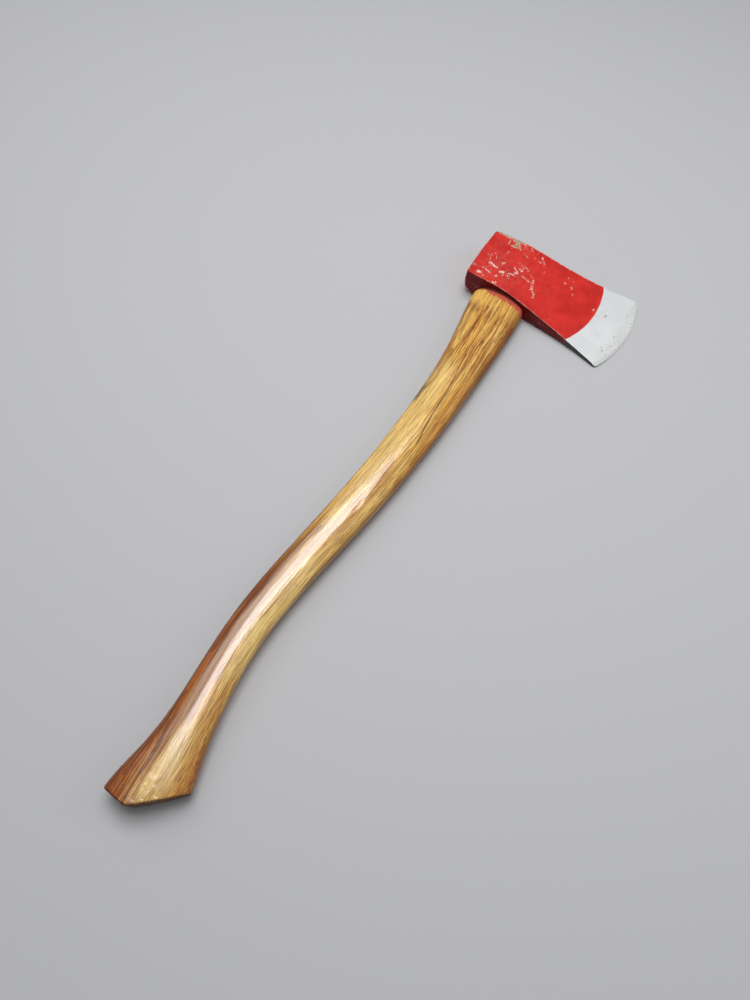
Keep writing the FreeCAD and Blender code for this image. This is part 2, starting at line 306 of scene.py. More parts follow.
def knob_face(tree):
    """The end faces of the knob as x over y, carried on in line past the rounded rim."""
    margin = 4.0 * MM
    places = []
    for across in np.arange(-40.0, 45.0, 0.5) * MM:
        hit = cast(tree, (-1.0, across, 0), (1, 0, 0))
        if hit is not None and hit[0] < KNOB_START:
            places.append((across, hit[0]))
    places = np.array(places)
    low, high = places[:, 0].min() + margin, places[:, 0].max() - margin
    places = places[(places[:, 0] > low) & (places[:, 0] < high)]
    steps = 6
    slope_low = (places[steps, 1] - places[0, 1]) / (places[steps, 0] - places[0, 0])
    slope_high = (places[-1, 1] - places[-1 - steps, 1]) / (places[-1, 0] - places[-1 - steps, 0])

    def face_x(across):
        inside = np.interp(across, places[:, 0], places[:, 1])
        under = np.minimum(across - places[0, 0], 0) * slope_low
        over = np.maximum(across - places[-1, 0], 0) * slope_high
        return inside + under + over

    return face_x


def rim_of_knob(rings, face_x):
    """How far each line of the handle runs on, straight, before it meets the knob's end."""
    slope = (rings[-1] - rings[-9]) / (rings[-1, :, 0] - rings[-9, :, 0])[:, None]
    near = np.zeros(AROUND)
    far = np.full(AROUND, KNOB_START - KNOB_REACH)
    for _ in range(30):
        run = (near + far) / 2
        spot = rings[-1] - slope * run[:, None]
        inside = spot[:, 0] > face_x(spot[:, 1])
        near = np.where(inside, run, near)
        far = np.where(inside, far, run)
    return slope, near


def tongue_rows():
    """The rings of the tongue, a hair inside the eye, with a fine gap where it enters."""
    places = np.concatenate([[63.8, 63.5], np.linspace(61, 4, 14), np.arange(1.0, -6.4, -0.6)]) * MM
    rings = eye_rings(places)
    slack = (0.04 + 0.45 * ease(places, 0.0, -3.5 * MM)) * MM
    slack[0] += 0.25 * MM
    spread = rings * (0, 1, 1)
    inward = spread / np.linalg.norm(spread, axis=2, keepdims=True)
    return rings - inward * slack[:, None, None]


def handle_rows(tree):
    """All rings of the handle, from inside the eye to the middle of the knob's end."""
    angles = np.linspace(0, 2 * math.pi, AROUND, endpoint=False)
    bevel = np.linspace(EYE_FOOT - 0.2 * MM, SHOULDER, 10)
    steps = int(round((SHOULDER - KNOB_START) / ROW_STEP))
    grip = np.linspace(SHOULDER, KNOB_START, steps)[1:]
    rings = np.array([grip_ring(tree, place, angles) for place in np.concatenate([bevel, grip])])
    rings = soften(soften(rings, 5, 0), 3, 1, closed=True)
    rings = np.concatenate([tongue_rows(), rings])

    face_x = knob_face(tree)
    slope, reach = rim_of_knob(rings, face_x)
    shares = np.concatenate([np.linspace(0, 0.86, 22)[1:], np.linspace(0.88, 1, 9)])
    flare = [rings[-1] - slope * (reach * share)[:, None] for share in shares]
    rim = flare[-1]
    centre = rim.mean(0)
    end = []
    for share in np.concatenate([np.linspace(0.02, 0.14, 7), np.linspace(0.18, 0.98, 22)]):
        ring = rim + (centre - rim) * share
        ring[:, 0] = face_x(ring[:, 1])
        end.append(ring)
    snapped = nearest(tree, np.concatenate(flare + end)).reshape(-1, AROUND, 3)
    count = len(flare)
    snapped[:count - 8] = soften(snapped[:count - 8], 3, 1, closed=True)
    return np.concatenate([rings, snapped])


def build_handle():
    tree = cad_tree("handle")
    rows = handle_rows(tree)
    first = rows[0].mean(0)
    last = rows[-1].mean(0)
    points = np.concatenate([rows.reshape(-1, 3), [first, last]])
    made = mesh_object("hickory_handle", points, tube_faces(len(rows), AROUND))
    for node, widen in (("wood_wedge", (1, 1.3, 1.04)), ("steel_wedge", (1, 1.02, 1.02))):
        carve(made, wedge_cutter(node, widen))
    return made


def wedge_cutter(node, widen):
    """A wedge's CAD solid, a little larger and carried past the end of the tongue."""
    points, faces = cad_solid(node)
    middle = (points.min(0) + points.max(0)) / 2
    points = middle + (points - middle) * np.array(widen)
    points[points[:, 0] > TONGUE_END - 0.1 * MM, 0] += 3 * MM
    made = mesh_object(node + "_cutter", points, faces)
    edit(made, weld)
    return made


# ---- head

HEAD_CENTRE = np.array([33.0, -45.0]) * MM
POLL_ROUNDING = 2.0
CHEEK_ROUNDING = 0.5
BIT_CELLS = 230
TALL_CELLS = 150
WALL_ROWS = 16
OUTLINE_LEVELS = np.array([0, 3, 6, 9, 10.5, 11.5]) * MM
OUTLINE_POINTS = 2400
SQUEEZE = 0.72
THINNEST = 0.15 * MM


def head_outline(tree):
    """The head's side outline seen from the middle of the blade: the widest over a few levels,
    because a ray in the mid-plane runs on into the eye."""
    outline = []
    for angle in np.linspace(0, 2 * math.pi, OUTLINE_POINTS, endpoint=False):
        aim = np.array([math.cos(angle), math.sin(angle), 0])
        reach = 0
        for level in OUTLINE_LEVELS:
            hit = cast(tree, np.array([*HEAD_CENTRE, level]) + aim * FAR, -aim)
            if hit is not None:
                reach = max(reach, (hit[:2] - HEAD_CENTRE) @ aim[:2])
        outline.append(HEAD_CENTRE + reach * aim[:2])
    return np.array(outline)


def between(outline, start, stop):
    """The stretch of a closed outline from one index up to another."""
    count = len(outline)
    length = (stop - start) % count
    return outline[(start + np.arange(length + 1)) % count]


def resample(line, shares):
    """Points at the given shares of a line's length."""
    steps = np.linalg.norm(np.diff(line, axis=0), axis=1)
    run = np.concatenate([[0], np.cumsum(steps)])
    return np.stack([np.interp(shares * run[-1], run, line[:, axis]) for axis in (0, 1)], -1)


def crowded(cells):
    """Shares from 0 to 1 that crowd towards both ends."""
    even = np.linspace(0, 1, cells + 1)
    return even - SQUEEZE * np.sin(2 * math.pi * even) / (2 * math.pi)


def fill_outline(outline):
    """A grid of points inside the head's outline, its sides on the four edges of the head."""
    corner = {name: int(np.argmax(outline @ np.array(aim))) for name, aim in
              (("top_poll", (1, 1)), ("foot_poll", (-1, 1)), ("heel", (-1, -1)), ("toe", (1, -1)))}
    along = crowded(BIT_CELLS)
    upward = crowded(TALL_CELLS)
    poll = resample(between(outline, corner["top_poll"], corner["foot_poll"])[::-1], upward)
    foot = resample(between(outline, corner["foot_poll"], corner["heel"]), along)
    bit = resample(between(outline, corner["heel"], corner["toe"]), upward)
    top = resample(between(outline, corner["toe"], corner["top_poll"])[::-1], along)
    u = along[:, None, None]
    v = upward[None, :, None]
    sides = (1 - v) * foot[:, None] + v * top[:, None] + (1 - u) * poll[None] + u * bit[None]
    corners = ((1 - u) * (1 - v) * foot[0] + u * (1 - v) * foot[-1]
               + (1 - u) * v * top[0] + u * v * top[-1])
    return sides - corners


def edge_rounding(spots):
    """The radius of the worn edge, in mm, for places on the side outline given in mm."""
    at_poll = ease(spots[:, 1], 30, 40)
    at_bit = ease(spots[:, 1], -82, -104)
    radius = CHEEK_ROUNDING + (POLL_ROUNDING - CHEEK_ROUNDING) * at_poll
    uneven = 1 + 0.35 * soft_noise(np.c_[spots, np.zeros(len(spots))], 9.0, 5)
    return radius * uneven * (1 - at_bit)


def distance_inside(points, outline):
    """For each point, the distance to the outline and the number of its nearest place there."""
    far = np.zeros(len(points))
    place = np.zeros(len(points), int)
    for begin in range(0, len(points), 2000):
        part = points[begin:begin + 2000]
        gap = ((part[:, None] - outline[None]) ** 2).sum(-1)
        place[begin:begin + 2000] = gap.argmin(1)
        far[begin:begin + 2000] = np.sqrt(gap.min(1))
    return far, place


def half_thickness(tree, plan):
    """Half the head's thickness over each point of its side view, read a hair inwards."""
    inset = plan + (HEAD_CENTRE - plan) * 0.002
    heights = []
    for x, y in inset:
        hit = cast(tree, (x, y, FAR), (0, 0, -1))
        heights.append(THINNEST if hit is None else hit[2])
    return np.array(heights)


def blunt_corner(points, foot_poll):
    """Wear away the corner of the poll, the foot and the cheek that lies down."""
    reach = 14.0 * MM
    loss = 3.0 * MM
    corner = np.array([*foot_poll, -EYE_THICK / 2])
    share = np.clip(1 - np.abs(points - corner) / reach, 0, 1).prod(1)
    inward = np.array([1, -1, 1]) / math.sqrt(3)
    return points + loss * share[:, None] * inward


def build_head():
    tree = cad_tree("axe_head")
    outline = head_outline(tree)
    grid = fill_outline(outline)
    columns, rows = grid.shape[:2]
    plan = grid.reshape(-1, 2)
    thick = half_thickness(tree, plan)
    far, place = distance_inside(plan, outline)
    radius = np.minimum(edge_rounding(outline / MM)[place] * MM, thick * 0.8)
    near = np.clip(radius - far, 0, None)
    thick = thick - (radius - np.sqrt(np.maximum(radius ** 2 - near ** 2, 0)))

    upper = np.c_[plan, thick]
    lower = np.c_[plan, -thick]
    number = np.arange(columns * rows).reshape(columns, rows)
    rim = np.concatenate([number[:-1, 0], number[-1, :-1], number[:0:-1, -1], number[0, :0:-1]])
    shares = np.linspace(1, -1, WALL_ROWS + 2)[1:-1]
    walls = [np.c_[plan[rim], thick[rim] * share] for share in shares]
    points = blunt_corner(np.concatenate([upper, lower, *walls]), plan[0])

    quads = np.stack([number[:-1, :-1], number[1:, :-1], number[1:, 1:], number[:-1, 1:]], -1)
    quads = quads.reshape(-1, 4)
    faces = [tuple(quad) for quad in quads]
    faces += [tuple(quad[::-1]) for quad in quads + len(plan)]
    around = len(rim)
    levels = [rim, *[2 * len(plan) + row * around + np.arange(around) for row in range(WALL_ROWS)],
              rim + len(plan)]
    for above, below in zip(levels[:-1], levels[1:]):
        beside_above = np.roll(above, -1)
        beside_below = np.roll(below, -1)
        faces += list(zip(above, below, beside_below, beside_above))
    faces = [tuple(int(corner) for corner in face) for face in faces]
    made = mesh_object("forged_head", points, faces)
    carve(made, eye_cutter())
    return made, outline


def eye_rings(places):
    """Rings of the eye's wall, read at two places of the CAD head and carried on in line."""
    tree = cad_tree("axe_head")
    angles = np.linspace(0, 2 * math.pi, AROUND, endpoint=False)
    low, high = 6 * MM, 58 * MM
    rings = []
    for place in (low, high):
        ring = []
        for angle in angles:
            aim = (0, math.cos(angle) * EYE_ASPECT, math.sin(angle))
            ring.append(cast(tree, (place, 0, 0), aim))
        rings.append(np.array(ring))
    per_length = (rings[1] - rings[0]) / (high - low)
    return np.array([rings[0] + per_length * (place - low) for place in places])


def eye_cutter():
    """The eye as a solid that stands out at both ends."""
    rows = eye_rings(np.concatenate([[-14], np.linspace(-8, 70, 40), [80]]) * MM)
    points = np.concatenate([rows.reshape(-1, 3), [rows[0].mean(0), rows[-1].mean(0)]])
    return mesh_object("eye_cutter", points, tube_faces(len(rows), AROUND))


# ---- wedges

def break_edges(work, cell):
    """Join flat faces, bevel the crisp edges and cut all into triangles of about a cell."""
    outward(work)
    bmesh.ops.dissolve_limit(work, angle_limit=math.radians(2), verts=work.verts, edges=work.edges)
    crisp = [edge for edge in work.edges if edge.calc_face_angle(0.0) > math.radians(30)]
    bmesh.ops.bevel(work, geom=crisp, offset=0.18 * MM, segments=2, affect="EDGES")
    bmesh.ops.triangulate(work, faces=work.faces)
    for _ in range(7):
        long_edges = [edge for edge in work.edges if edge.calc_length() > cell]
        if not long_edges:
            break
        bmesh.ops.subdivide_edges(work, edges=long_edges, cuts=1)
        bmesh.ops.triangulate(work, faces=work.faces)


def build_wedge(node, name, cell, seed):
    """A driven wedge: the CAD solid with broken edges and a battered, uneven surface."""
    made = mesh_object(name, *cad_solid(node))
    edit(made, weld)
    edit(made, break_edges, cell)
    spots = own_points(made) / MM
    displace(made, 0.06 * MM * layered_noise(spots, 2.5, seed))
    edit(made, shade)
    keep_fields(made, own_mm=spots)
    return made


# ---- wear, in own millimetres

# Runs of (x, y) places on the cheek that lies upwards: paint chipped in patches, with the
# half width of each patch, and single scratches.
CHIP_PATCHES = (
    (1.5, (16.6, 20.0), (17.4, 24.4), (19.0, 28.4)),
    (1.9, (14.9, 12.4), (14.2, 14.6)),
    (1.3, (24.8, 17.6), (26.0, 16.8)),
    (1.0, (27.0, 5.4), (23.6, 1.0)),
    (1.5, (23.6, 0.4), (21.6, 2.4)),
    (1.2, (18.6, 2.2), (18.0, 6.6)),
    (1.2, (12.0, 5.2), (14.8, 7.4)),
    (0.9, (11.0, 11.0), (12.4, 10.4)),
    (1.1, (28.2, -2.6), (29.4, 0.6)),
    (0.8, (33.6, -6.8), (35.0, -3.2), (31.8, -1.8)),
    (1.2, (22.6, -7.8), (23.4, -5.6)),
    (1.2, (22.4, -11.4), (21.8, -13.2)),
    (1.1, (22.0, -17.2), (23.2, -16.4)),
    (0.9, (27.0, -16.0), (22.0, -17.4), (18.0, -19.0)),
    (1.0, (18.6, -18.6), (13.6, -22.0), (11.8, -23.4)),
    (1.0, (12.0, -23.8), (8.2, -24.6)),
    (0.8, (15.4, -18.6), (17.4, -18.0)),
    (1.0, (6.8, 21.8), (7.6, 25.6), (8.8, 28.2)),
    (1.1, (6.6, 16.4), (7.4, 15.4)),
    (1.9, (2.4, 31.6), (1.2, 33.0)),
    (1.0, (-0.4, 26.4), (0.6, 28.0)),
    (1.4, (-0.8, 12.8), (-2.0, 14.4)),
    (0.8, (8.8, 39.0), (7.0, 40.4)),
    (0.8, (9.0, 31.0), (9.4, 31.8)),
    (1.0, (47.4, 1.6), (48.0, 2.4)),
    (0.8, (49.0, 4.6), (50.0, 5.2)),
    (1.0, (51.4, -11.8), (50.2, -11.2)),
    (1.1, (56.0, -12.2), (57.6, -11.2)),
    (0.8, (50.4, -16.8), (53.4, -15.2)),
    (0.8, (58.0, 0.4), (59.6, 2.0)),
    (0.8, (58.2, 8.0), (59.6, 9.0)),
    (1.0, (45.6, -43.4), (46.8, -42.6)),
    (1.0, (44.4, -51.4), (46.8, -50.4)),
    (0.9, (38.2, -55.6), (39.8, -54.8)),
    (0.7, (54.2, -49.0), (55.0, -48.6)),
    (0.7, (53.8, -43.2), (54.4, -42.8)),
    (0.9, (38.2, -81.0), (35.6, -79.8)),
    (1.4, (-12.2, -63.2), (-13.0, -65.0)),
)
SCRATCHES = (
    ((47.4, 19.2), (42.4, 19.8), (38.6, 19.4)),
    ((57.6, 25.2), (53.0, 24.6), (50.0, 24.0)),
    ((59.6, -5.6), (54.6, -5.0), (50.4, -5.4)),
    ((47.4, -18.8), (44.0, -20.6), (41.0, -20.8)),
    ((51.8, -16.4), (55.4, -13.6)),
    ((26.0, 25.4), (30.4, 27.2), (33.4, 30.4), (31.6, 32.4), (26.6, 31.4), (22.0, 30.4)),
    ((35.6, 4.1), (34.0, -1.3), (31.6, -8.1), (27.8, -15.3)),
    ((-1.1, -29.0), (-1.8, -31.8)),
)
# paint worn down to primer and old varnish at the top edge
WORN_STAR = (
    (2.4, (62.4, 17.4), (56.6, 17.0)),
    (1.3, (57.4, 20.0), (61.0, 25.4)),
    (1.1, (57.0, 15.2), (50.2, 10.8)),
    (1.2, (54.4, 16.8), (50.6, 20.4)),
    (0.9, (52.4, 13.2), (50.4, 18.4)),
    (0.8, (56.6, 24.8), (52.0, 24.4)),
)
# small dark pits and stains in the bare steel
STEEL_MARKS = (
    ((35.2, -92.6), (38.4, -93.4)),
    ((0.2, -104.2), (-0.8, -104.8)),
    ((-3.2, -106.4), (-2.6, -106.8)),
    ((18.6, -109.7), (19.4, -110.0)),
    ((6.4, -110.6), (5.8, -110.9)),
)
# long cracks and dark dashes in the upper side of the handle
CRACKS = (
    ((-195, -11.7), (-170, -9.4), (-143, -8.4), (-123, -7.0), (-108, -5.0), (-90, -3.4)),
    ((-92, 3.2), (-73, 4.9), (-43, 5.9), (-29, 5.1)),
    ((-105, -10.2), (-83, -8.2), (-68, -9.2)),
    ((-47, -3.2), (-23, -3.8)),
    ((-44, -9.0), (-25, -12.4)),
    ((-21, 11.0), (-14, 10.2)),
    ((-22, 1.0), (-14, 0.6)),
)
# soft dark streaks of old oil along the back of the grip and beside the burn
STREAKS = (
    ((-386, 27.0), (-350, 24.6), (-318, 19.6), (-294, 14.8)),
    ((-372, 23.2), (-340, 20.8), (-304, 14.0)),
    ((-430, 27.6), (-400, 27.2), (-376, 25.0)),
    ((-528, 26.2), (-494, 24.6), (-462, 25.4)),
    ((-142, 10.6), (-126, 8.2), (-108, 9.2), (-90, 10.4)),
    ((-68, 14.0), (-44, 17.0), (-32, 17.4)),
)
DASHES = (
    ((-110.0, -11.6), (-111.6, -15.2)),
    ((-120.6, -17.9), (-121.1, -18.6)),
    ((-55.4, -21.2), (-50.2, -21.8)),
    ((-459.4, 12.6), (-458.6, 12.2)),
)

# the paint ends at the bit on an arc about this place
PAINT_CENTRE = (34.0, 20.6)
PAINT_RADIUS = 104.0

# added to the distance of a mark where the face looks down, so that marks stay on the upper side
OUT_OF_REACH = 9

# the handle's middle and width along its length, from the knob to the eye: (x, y, width)
HANDLE_LINE = ((-550, 4.2, 58.0), (-505, 7.0, 45.4), (-475, 10.5, 35.8), (-440, 14.5, 31.8),
               (-400, 16.5, 31.3), (-340, 12.0, 32.8), (-260, 2.0, 35.3), (-180, -4.0, 37.8),
               (-110, -5.0, 40.9), (-55, -2.5, 47.6), (-13, 0.5, 52.6), (80, 0.0, 52.6))


def near_lines(places, lines):
    """The distance of side-view places to the nearest line, and the signed distance across it."""
    near = np.full(len(places), 99.0)
    side = np.full(len(places), 99.0)
    for line in lines:
        for start, stop in zip(line[:-1], line[1:]):
            run = np.subtract(stop, start)
            reach = places - np.array(start)
            share = np.clip(reach @ run / (run @ run), 0, 1)
            gap = np.linalg.norm(reach - share[:, None] * run, axis=1)
            across = (run[0] * reach[:, 1] - run[1] * reach[:, 0]) / np.linalg.norm(run)
            closer = gap < near
            near[closer] = gap[closer]
            side[closer] = across[closer]
    return near, side


def patch_depth(places, patches):
    """How deep each place lies inside the nearest patch, negative outside."""
    depth = np.full(len(places), -9.0)
    for half_width, *line in patches:
        near, _ = near_lines(places, [line])
        depth = np.maximum(depth, half_width - near)
    return depth


def wear_head(made, outline):
    """Work the forging's waves, the chips and the rubbed edges into the head's mesh."""
    edit(made, shade)
    spots = own_points(made) / MM
    facing = own_normals(made)
    flat = spots[:, :2]
    cheek = np.abs(facing[:, 2])
    upper = ease(facing[:, 2], 0.2, 0.6)
    hidden = OUT_OF_REACH * (1 - upper)

    far, _ = distance_inside(flat * MM, outline[::2])
    tree = cad_tree("axe_head")
    thick = half_thickness(tree, flat * MM)
    edge_gap = far / MM + np.clip(thick / MM - np.abs(spots[:, 2]), 0, None)

    scatter = 0.9 * layered_noise(spots, 7.0, 61) + 0.8 * soft_noise(spots, 34.0, 67) - 1.75
    chips = np.maximum(scatter, np.where(upper > 0.5, patch_depth(flat, CHIP_PATCHES), -9.0))
    scratch_near, scratch_side = near_lines(flat, SCRATCHES)
    mark_near, _ = near_lines(flat, STEEL_MARKS)

    rubbed = np.exp(-((spots[:, 0] - 24) ** 2 + (spots[:, 1] - 12) ** 2) / 30 ** 2) * cheek
    worn_top = ease(spots[:, 0], 56.5, 60.0) * ease(spots[:, 1], 3, 14) * ease(spots[:, 1], 47, 36)
    worn_top *= np.maximum(ease(spots[:, 2], 6.0, 11.0), 0.3)
    star = upper * ease(patch_depth(flat, WORN_STAR), -0.8, 1.0)
    worn_top = np.maximum(worn_top, star)
    to_paint = np.linalg.norm(flat - PAINT_CENTRE, axis=1) - PAINT_RADIUS

    bare = ease(to_paint, -0.3, 0.3)
    forged = 0.09 * (layered_noise(spots, (26, 22, 18), 71) - 1.2) * (1 - 0.7 * bare)
    dents = -0.10 * ease(soft_noise(spots, 6.0, 73), 0.45, 0.8)
    knocks = -0.30 * ease(layered_noise(spots, 5.0, 79), 0.15, 1.0) * ease(edge_gap, 1.6, 0.2)
    keen = ease(spots[:, 1], -96, -104)
    rise = forged + dents - 0.09 * ease(chips, -0.2, 0.5) * (1 - bare) - 0.08 * bare + knocks * (1 - keen)
    displace(made, rise * MM * (1 - 0.85 * keen))

    keep_fields(made, own_mm=spots, facing=facing, edge_gap=edge_gap, chips=chips,
                scratch_near=scratch_near + hidden, scratch_side=scratch_side,
                mark_near=mark_near + hidden, rubbed=rubbed, worn_top=worn_top)
    edit(made, shade)


def wear_handle(made):
    """Work undulations, opened grain, cracks and dents into the handle's mesh."""
    edit(made, shade)
    spots = own_points(made) / MM
    facing = own_normals(made)
    x, y, z = spots.T
    places, middles, widths = np.array(HANDLE_LINE, float).T
    bend = np.interp(x, places, middles)
    grain = np.stack([x, y - bend, z], -1)
    spread = 2 * (y - bend) / np.interp(x, places, widths)
    upper = ease(facing[:, 2], 0.05, 0.4)

    crack_near, crack_side = near_lines(spots[:, :2], CRACKS)
    crack_near = crack_near + OUT_OF_REACH * (1 - upper)
    dash_near, _ = near_lines(spots[:, :2], DASHES)
    dash_near = dash_near + OUT_OF_REACH * (1 - upper)
    streak_near, _ = near_lines(spots[:, :2], STREAKS)

    opened = ease(x, -130, -75) * ease(x, -8, -16)
    fibres = ease(soft_noise(grain, (34, 0.9, 0.9), 83), 0.25, 0.9)
    waves = 0.10 * (layered_noise(grain, (60, 16, 16), 87) - 1.2)
    grooves = -0.12 * opened * fibres - 0.05 * ease(soft_noise(grain, (22, 0.8, 0.8), 89), 0.3, 0.9)
    cracked = -0.12 * ease(crack_near, 0.9, 0.0)
    at_knob = ease(x, -512, -538)
    pits = -0.35 * ease(soft_noise(spots, 1.9, 91), 0.35, 0.85) * at_knob
    dents = -0.22 * ease(soft_noise(spots, (13, 9, 9), 93), 0.55, 0.95)
    in_eye = ease(x, -11.5, -7)
    rise = waves + grooves + cracked + pits + dents
    displace(made, rise * MM * (1 - in_eye))

    keep_fields(made, own_mm=spots, grain_mm=grain, spread=spread, facing=facing,
                crack_near=crack_near, crack_side=crack_side, dash_near=dash_near,
                streak_near=streak_near)
    edit(made, shade)


# ---- material nodes

def tone(red, green, blue):
    """A linear colour from the usual 0 to 255 screen values."""
    return tuple(((value / 255 + 0.055) / 1.055) ** 2.4 for value in (red, green, blue))


VARNISH_ROUGHNESS = 0.2
VARNISH_IOR = 1.9


class Graph:
    """A material under construction. Each call adds nodes and gives back their output."""

    def __init__(self, name):
        self.material = bpy.data.materials.new(name)
        self.material.use_nodes = True
        self.tree = self.material.node_tree
        self.shader = self.tree.nodes["Principled BSDF"]

    def feed(self, socket, value):
        """Link a socket to an output, or give it a plain number, vector or colour."""
        if isinstance(value, bpy.types.NodeSocket):
            self.tree.links.new(value, socket)
        elif socket.type == "RGBA":
            socket.default_value = (*value, 1)
        else:
            socket.default_value = value

    def node(self, kind, inputs, output=0, **settings):
        made = self.tree.nodes.new(kind)
        for setting, value in settings.items():
            setattr(made, setting, value)
        for key, value in inputs.items():
            self.feed(made.inputs[key], value)
        return made.outputs[output]

    def number(self, field):
        """A number that the mesh keeps at each vertex."""
        return self.node("ShaderNodeAttribute", {}, "Fac", attribute_name=field)

    def vector(self, field):
        return self.node("ShaderNodeAttribute", {}, "Vector", attribute_name=field)

    def axes(self, vector):
        """The three parts of a vector."""
        split = self.tree.nodes.new("ShaderNodeSeparateXYZ")
        self.feed(split.inputs[0], vector)
        return split.outputs

    def distance(self, vector, place):
        return self.node("ShaderNodeVectorMath", {0: vector, 1: place}, "Value", operation="DISTANCE")

    def calc(self, operation, first, second=0.0):
        return self.node("ShaderNodeMath", {0: first, 1: second}, operation=operation)

    def absolute(self, value):
        return self.calc("ABSOLUTE", value)

    def minus(self, first, second):
        return self.calc("SUBTRACT", first, second)

    def times(self, first, *others):
        for other in others:
            first = self.calc("MULTIPLY", first, other)
        return first

    def sum(self, first, *others):
        for other in others:
            first = self.calc("ADD", first, other)
        return first

    def most(self, first, *others):
        for other in others:
            first = self.calc("MAXIMUM", first, other)
        return first

    def band(self, value, low, high, start=0.0, end=1.0):
        """A smooth step: start where value is at low, end where it is at high."""
        ends = {0: value, 1: low, 2: high, 3: start, 4: end}
        return self.node("ShaderNodeMapRange", ends, interpolation_type="SMOOTHSTEP")

    def fade(self, share, start, end):
        """From start where a share is 0 to end where it is 1."""
        return self.band(share, 0, 1, start, end)

    def mix(self, share, first, second):
        """A colour between two, by a share from 0 to 1."""
        return self.node("ShaderNodeMix", {0: share, 6: first, 7: second}, 2, data_type="RGBA")

    def cover(self, colour, *shares):
        """Lay a colour over the graph's running colour, by the product of its shares."""
        self.colour = self.mix(self.times(*shares), self.colour, colour)

    def noise(self, vector, size, detail=3.0, rough=0.5, twist=0.0, seed=0.0):
        """Noise from 0 to 1. size is the length of a wave in mm along each axis."""
        scale = tuple(1 / length for length in size)
        moved = {0: vector, 1: scale, 2: (seed, seed, seed)}
        scaled = self.node("ShaderNodeVectorMath", moved, operation="MULTIPLY_ADD")
        look = {"Vector": scaled, "Scale": 1.0, "Detail": detail, "Roughness": rough, "Distortion": twist}
        return self.node("ShaderNodeTexNoise", look, "Fac")

    def swing(self, noise, strength):
        """A noise moved to swing about 0, times a strength."""
        return self.times(self.sum(noise, -0.5), strength)

    def finish(self, roughness, height, metallic=0.0, varnish=None):
        """Feed the shader with the running colour and the rest. height is a relief in mm."""
        bump = self.node("ShaderNodeBump", {"Height": height, "Strength": 1.0, "Distance": MM})
        self.feed(self.shader.inputs["Base Color"], self.colour)
        self.feed(self.shader.inputs["Roughness"], roughness)
        self.feed(self.shader.inputs["Metallic"], metallic)
        self.feed(self.shader.inputs["Normal"], bump)
        if varnish is not None:
            self.feed(self.shader.inputs["Coat Weight"], varnish)
            self.shader.inputs["Coat Roughness"].default_value = VARNISH_ROUGHNESS
            self.shader.inputs["Coat IOR"].default_value = VARNISH_IOR
        return self.material


# ---- painted and bare steel

RED = tone(212, 46, 38)
RED_DEEP = tone(192, 36, 30)
RED_DULL = tone(196, 74, 66)
RED_PAINTED_SHADE = tone(116, 12, 8)
UNDERSIDE_SHADE_BLOTCHES = tone(44, 16, 14)
PAINT_LIP = tone(230, 120, 112)
PRIMER = tone(246, 208, 192)
RUST_BROWN = tone(118, 92, 70)
OLD_VARNISH = tone(138, 110, 76)
PALE_VARNISH = tone(204, 184, 158)
EDGE_PINK = tone(214, 128, 118)
EDGE_GREY = tone(196, 178, 168)
BARE_STEEL = tone(229, 231, 229)
STEEL_CLOUD = tone(222, 223, 222)
STEEL_LINES = tone(168, 172, 176)
STEEL_GRIT = tone(160, 164, 168)
STEEL_HONED = tone(150, 150, 146)
STEEL_PIT = tone(96, 92, 86)
STEEL_PAINTED_SHADE = tone(52, 50, 50)
TAN = tone(178, 158, 128)

HEAD_SPECULAR = 0.25


def head_fields(g):
    """The noises and places that the head's paint and steel share, in mm."""
    g.spot = g.vector("own_mm")
    g.x, g.y, _ = g.axes(g.spot)
    g.coarse = g.noise(g.spot, (16, 16, 16), 3)
    g.middle = g.noise(g.spot, (3.5, 3.5, 3.5), 4, seed=7)
    g.fine = g.noise(g.spot, (1.0, 1.0, 1.0), 4, 0.65, seed=19)
    g.grit = g.noise(g.spot, (0.28, 0.28, 0.28), 2, 0.6, seed=31)
    g.under = g.band(g.axes(g.vector("facing"))[0], -0.55, -0.8)
    flat = g.node("ShaderNodeVectorMath", {0: g.spot, 1: (1, 1, 0)}, operation="MULTIPLY")
    g.reach = g.distance(flat, (*PAINT_CENTRE, 0))
    g.paint_end = g.sum(g.reach, g.swing(g.middle, 0.9), g.swing(g.fine, 0.5))
    g.bare = g.band(g.paint_end, PAINT_RADIUS - 0.12, PAINT_RADIUS + 0.12)


def find_paint_losses(g):
    """Where the paint is chipped, scratched, worn through at the top and rubbed off the edges."""
    chips = g.band(g.sum(g.times(g.number("chips"), 0.9), g.swing(g.fine, 9.0)), 0.35, 0.8)
    width = g.band(g.fine, 0.3, 0.75, 0.06, 0.5)
    line = g.band(g.minus(g.absolute(g.number("scratch_side")), width), 0.1, -0.05)
    line = g.times(line, g.band(g.number("scratch_near"), 0.9, 0.5), g.band(g.middle, 0.44, 0.56), 0.55)
    g.strip = g.band(g.sum(g.number("worn_top"), g.swing(g.middle, 1.3)), 0.5, 0.72)
    g.through = g.most(chips, line, g.strip)

    at_top = g.band(g.x, 52, 62)
    ragged = g.swing(g.middle, g.fade(at_top, 2.0, 4.5))
    edge = g.sum(g.number("edge_gap"), ragged, g.swing(g.fine, 1.2))
    worn_edge = g.band(g.sum(edge, g.times(at_top, -0.4)), 0.85, 0.4)
    g.rim = g.times(worn_edge, g.fade(g.under, 1.0, 0.25))


